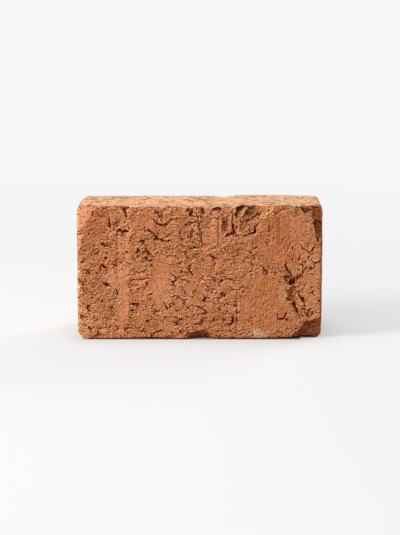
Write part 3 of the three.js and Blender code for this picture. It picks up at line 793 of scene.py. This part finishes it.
def clayMaterial(settings, skinSize):
    material = bpy.data.materials.new("fired_clay")
    material.use_nodes = True
    bench = Bench(material.node_tree)
    shader = material.node_tree.nodes["Principled BSDF"]

    def attribute(name, output):
        return bench.add("ShaderNodeAttribute", {"attribute_name": name}, {}, output)

    place = attribute("place", "Vector")
    ridge = attribute("ridge", "Fac")
    tearing = attribute("torn", "Fac")
    calm = attribute("calm", "Fac")
    sunk = attribute("sunk", "Fac")
    gape = attribute("gape", "Fac")
    chip = attribute("chip", "Fac")
    torn = tornClay(bench, place, skinSize)
    at = patternPlace(place, skinSize)
    x, y, z = place.axes()
    depth = frontDepth(y, chip)
    isFront = frontShare(y)
    isDeep = depth.rise(0.5, 1.5) * y.rise(-13, -19) * abs(x).rise(104.5, 102.5)

    clouds = bench.noise(at / 24.0, detail=3.0, roughness=0.6)
    mottle = patches(bench, at)
    speck = bench.noise(at / 0.7, detail=2.0, roughness=0.6)
    warmth = bench.noise(at / 8.0 + 90.0, detail=2.0)
    upright = bench.noise(at / (1.4, 1.4, 17.0) + 40.0, detail=2.0, roughness=0.6)
    level = bench.noise(at / (13.0, 4.0, 1.3) + 70.0, detail=2.0, roughness=0.6)

    # the fine relief that the skin is too coarse for
    geometry = bench.node("ShaderNodeNewGeometry", {}, {})
    flatUp = Value(bench, geometry.outputs["Normal"]).axes()[2]
    onTop = flatUp.rise(0.5, 0.95) * z.rise(100, 112)
    onEnd = abs(x).rise(103.0, 104.4) * y.rise(-28, -20)
    marks = bench.noise(at / (7.0, 4.0, 4.0) + 60.0, detail=4.0, roughness=0.72)
    fine = torn["fineLip"] * 0.5 - torn["fineHollow"] * 0.8 - torn["fineSeam"] * 0.7
    fine = (fine + torn["wideLip"] * 0.4 - torn["wideSeam"] * 0.9) * tearing
    quiet = 1 - calm * 0.45
    drawn = calm * (0.35 + x.rise(0, 30) * 0.65)  # smoothed and left with upright lines
    fine = fine + (speck * 0.5 + bench.noise(at / 1.5, detail=3.0, roughness=0.6) * 0.9) * quiet
    fine = fine + upright * drawn * 0.8 - marks.rise(0.55, 0.70) * onTop.atLeast(onEnd) * 0.8
    sockets = {"Strength": settings["bump"], "Distance": mm, "Height": fine}
    bump = bench.add("ShaderNodeBump", {}, sockets, "Normal")

    # the clay, and the places that differ from it
    colour = bench.mix(clouds.rise(0.40, 0.62) * 0.4, settings["body"], settings["pale"])

    def layOver(share, tint):
        nonlocal colour
        colour = bench.mix(share, colour, settings[tint])

    layOver(warmth.rise(0.50, 0.66) * 0.5, "pink")
    layOver(warmth.rise(0.46, 0.32) * 0.5, "ochre")
    broad = bench.noise(at / 11.0 + 25.0, detail=2.0)
    layOver(broad.rise(0.50, 0.66) * 0.45, "dark")
    layOver(broad.rise(0.46, 0.32) * 0.45, "pale")
    layOver(torn["tone"].rise(0.50, 0.68) * 0.6, "dark")
    layOver(mottle.rise(0.50, 0.66) * 0.55, "dark")
    layOver(mottle.rise(0.47, 0.31) * 0.55, "pale")
    layOver(calm * x.rise(0, -15) * 0.35, "pale")
    layOver(upright.rise(0.52, 0.62) * drawn * 0.65, "dark")
    layOver(level.rise(0.50, 0.60) * isDeep * 0.6, "dark")
    layOver(mottle.rise(0.52, 0.60) * isDeep * 0.8, "deep")
    layOver(mottle.rise(0.46, 0.38) * isDeep * 0.8, "pale")
    hairs = abs(bench.noise(at / (3.5, 3.5, 11.0) + 15.0, detail=3.0) - 0.5).rise(0.030, 0.006)
    hairs = hairs * calm * x.rise(40, 60) * broad.rise(0.4, 0.55)
    layOver(hairs * 0.45, "dark")

    # the tints are laid on, some of them painted shade and highlight; then what faces up is
    # painted paler, as painted light, and what faces down redder and darker, as painted shade
    colour = colour * attribute("bare", "Fac") + attribute("stain", "Vector")
    slope = bump.axes()[2]
    whole = 1 - isDeep * 0.75
    layOver(slope.rise(0.04, 0.5) * whole * 0.6, "sandy")
    layOver(slope.rise(-0.04, -0.5) * whole * 0.75, "shaded")

    # painted highlight on what stands out and on the lips of the fine tears, painted shade in
    # hollows, in the sunk cracks and along the seams of the tears and strokes, then the specks,
    # and the small pits of calm places, painted dark as their shade
    layOver(ridge.rise(0.04, 0.30) * 0.6, "pale")
    layOver(torn["fineLip"] * tearing * 0.35, "pale")
    layOver(ridge.rise(-0.10, -0.5) * 0.92, "deep")
    layOver(sunk.rise(0.20, 0.75) * isFront * 0.92, "deep")
    seams = torn["wideSeam"].atLeast(torn["fineSeam"] * 0.85) * tearing.rise(0.05, 0.6)
    seams = seams.atLeast((gape + speck * 0.8).rise(1.5, 0.9) * isFront)
    layOver(seams, "deep")
    layOver(speck.rise(0.54, 0.68) * quiet * 0.8, "deep")
    layOver(speck.rise(0.44, 0.30) * quiet * 0.5, "pale")
    pitReach, pitChance = bench.cells(at / (2.2, 8.0, 2.5))
    pits = pitReach.rise(0.30, 0.16) * pitChance[1].rise(0.35, 0.45) * calm
    layOver(pits * 0.9, "deep")
    for gritX, gritZ, radius in grit:
        reach = bench.vector(x - gritX, 0.0, z - gritZ).length() + (mottle - 0.5) * (2 * radius)
        shown = reach.rise(radius, radius * 0.5) * isFront
        layOver(shown, "grain")

    # pale dust on the top, with dark marks in it
    layOver(onTop * (0.72 + mottle.rise(0.6, 0.3) * 0.25), "dust")
    layOver(onTop * marks.rise(0.47, 0.59) * 0.65, "pink")
    layOver(onTop * marks.rise(0.52, 0.62) * 0.55, "stain")
    layOver(onTop * marks.rise(0.57, 0.66) * 0.75, "deep")

    # both ends are streaked by the die, and have a few dark pits
    layOver(level.rise(0.50, 0.62) * onEnd * 0.5, "dark")
    layOver(level.rise(0.47, 0.36) * onEnd * 0.4, "pale")
    layOver(marks.rise(0.57, 0.66) * onEnd * 0.6, "deep")

    # painted shade along the foot of the front, where the brick stands on the floor
    contactShade = z.rise(1.9, 0.7) * (0.6 + mottle.rise(0.35, 0.55) * 0.4)
    layOver(contactShade, "contactShade")

    shader.inputs["Roughness"].default_value = settings["roughness"]
    shader.inputs["Specular IOR Level"].default_value = 0.0
    bench.tree.links.new(colour.socket, shader.inputs["Base Color"])
    bench.tree.links.new(bump.socket, shader.inputs["Normal"])
    return material


clay = clayMaterial(firedClay, tornSkin)
brick = growSkin(tornSkin, skinMesh, clay)
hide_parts("brick")
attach(brick, "root")
print("brick done")


studio = {
    "floorColour": (0.35, 0.35, 0.35, 1),
    "floorLift": 0.465,
    "backdropShine": 0.925,
    "backdropFrom": 0.25,
    "backdropTo": 1.1,
    "floorSize": 6.0,
    "wallDistance": 1.8,
    "footprint": (0.099, 0.0315),  # half of what the brick stands on
    "chippedCorner": (0.086, -0.0235),
    "darkLine": (0.0025, 0.84),  # how far it reaches round the brick, and its share of the shade
    "softShade": (0.03, 0.16),
    "airStrength": 0.09,
}


# 1 where the camera sees a surface itself, also in a mirror or through glass
def seenDirectly(bench):
    path = bench.node("ShaderNodeLightPath", {}, {})
    kinds = ("Is Camera Ray", "Is Glossy Ray", "Is Transmission Ray")
    camera, glossy, transmission = [Value(bench, path.outputs[kind]) for kind in kinds]
    return (camera + glossy + transmission).atMost(1.0)


# Matt paper near the brick, which takes its shadow, and an even pale backdrop further off
def paperMaterial(settings):
    material = bpy.data.materials.new("pale_paper")
    material.use_nodes = True
    bench = Bench(material.node_tree)
    shader = material.node_tree.nodes["Principled BSDF"]
    shader.inputs["Base Color"].default_value = settings["floorColour"]
    shader.inputs["Roughness"].default_value = 0.9
    shader.inputs["Specular IOR Level"].default_value = 0.0
    shader.inputs["Emission Strength"].default_value = settings["floorLift"]
    seen = seenDirectly(bench)
    onFloor = bench.add("ShaderNodeTexCoord", {}, {}, "Object")
    away = onFloor.length()

    # nothing lifts the dark line where the brick stands, and the lift fades back over a band round
    # it, a painted contact shadow and soft shade on top of the real shadow
    x, y, _ = onFloor.axes()
    halfLength, halfThickness = settings["footprint"]
    outX = (abs(x) - halfLength).atLeast(0)
    outY = (abs(y) - halfThickness).atLeast(0)
    chipX, chipY = settings["chippedCorner"]
    aside = bench.vector(outX, outY, 0.0).length().atLeast((x - chipX).atMost(chipY - y))
    lineReach, lineShare = settings["darkLine"]
    shadeReach, shadeShare = settings["softShade"]
    clear = aside.rise(0.0, lineReach) * lineShare + aside.rise(0.0, shadeReach) * shadeShare
    glow = bench.mix(clear * seen, (0.0, 0.0, 0.0, 1), (1.0, 1.0, 1.0, 1))
    bench.tree.links.new(glow.socket, shader.inputs["Emission Color"])
    far = away.rise(settings["backdropFrom"], settings["backdropTo"])
    even = bench.node("ShaderNodeEmission", {}, {"Strength": settings["backdropShine"]})
    blend = bench.node("ShaderNodeMixShader", {}, {0: seen * far})
    bench.tree.links.new(shader.outputs[0], blend.inputs[1])
    bench.tree.links.new(even.outputs[0], blend.inputs[2])
    output = material.node_tree.nodes["Material Output"]
    bench.tree.links.new(blend.outputs[0], output.inputs["Surface"])
    return material


# A sheet of paper that lies under the brick and curves up behind it
def paperSweep(settings):
    bend = 0.6
    steps = 16
    profile = [(-settings["floorSize"] / 2, 0.0)]
    for i in range(steps + 1):
        angle = math.pi / 2 * i / steps
        y = settings["wallDistance"] + bend * math.sin(angle)
        profile.append((y, bend * (1 - math.cos(angle))))
    profile.append((settings["wallDistance"] + bend, settings["floorSize"]))
    half = settings["floorSize"] / 2
    points = [(side * half, y, z) for y, z in profile for side in (-1, 1)]
    faces = [(2 * i, 2 * i + 1, 2 * i + 3, 2 * i + 2) for i in range(len(profile) - 1)]
    mesh = bpy.data.meshes.new("paper_sweep")
    mesh.from_pydata(points, [], faces)
    mesh.materials.append(paperMaterial(settings))
    for face in mesh.polygons:
        face.use_smooth = True
    paper = bpy.data.objects.new("paper_sweep", mesh)
    bpy.context.scene.collection.objects.link(paper)
    return paper


# Area lamps, which all aim at the brick's middle
aimedAt = (0, 0, 0.06)
lamps = {
    "window": {"at": (-2.2, -0.96, 1.02), "size": (0.9, 0.9), "power": 80},
    "ceiling": {"at": (-0.2, 0.0, 1.5), "size": (1.4, 1.4), "power": 13.3},
    "front": {"at": (-0.5, -1.4, 0.7), "size": (0.8, 0.7), "power": 6.5},
    "behind": {"at": (1.6, 1.5, 0.9), "size": (1.4, 1.0), "power": 34},
}


def lightLamps(lampSettings, target):
    for name, lamp in lampSettings.items():
        light = bpy.data.lights.new(name, "AREA")
        light.shape = "RECTANGLE"
        light.size, light.size_y = lamp["size"]
        light.energy = lamp["power"]
        obj = bpy.data.objects.new(name, light)
        obj.location = lamp["at"]
        towards = Vector(target) - Vector(lamp["at"])
        obj.rotation_euler = towards.to_track_quat("-Z", "Y").to_euler()
        bpy.context.scene.collection.objects.link(obj)


# Faint even light from all round, which looks like the backdrop where it is seen itself
def lightWorld(settings):
    world = bpy.data.worlds.new("studio_air")
    bpy.context.scene.world = world
    world.use_nodes = True
    bench = Bench(world.node_tree)
    gap = settings["backdropShine"] - settings["airStrength"]
    strength = seenDirectly(bench) * gap + settings["airStrength"]
    background = world.node_tree.nodes["Background"]
    background.inputs["Color"].default_value = (1.0, 1.0, 1.0, 1)
    bench.tree.links.new(strength.socket, background.inputs["Strength"])


# The camera, which looks straight ahead and down by some degrees
eye = {"at": (0.0003, -1.5, 0.3412), "downward": 10.728, "lens": 117.4, "sensor": 36.0}


def placeCamera(settings):
    camera = bpy.data.cameras.new("camera")
    camera.lens = settings["lens"]
    camera.sensor_width = settings["sensor"]
    obj = bpy.data.objects.new("camera", camera)
    obj.location = settings["at"]
    obj.rotation_euler = (math.radians(90 - settings["downward"]), 0, 0)
    bpy.context.scene.collection.objects.link(obj)
    bpy.context.scene.camera = obj


paper = paperSweep(studio)
lightLamps(lamps, aimedAt)
lightWorld(studio)
placeCamera(eye)
bpy.context.scene.view_settings.view_transform = "Standard"
print("studio ready")
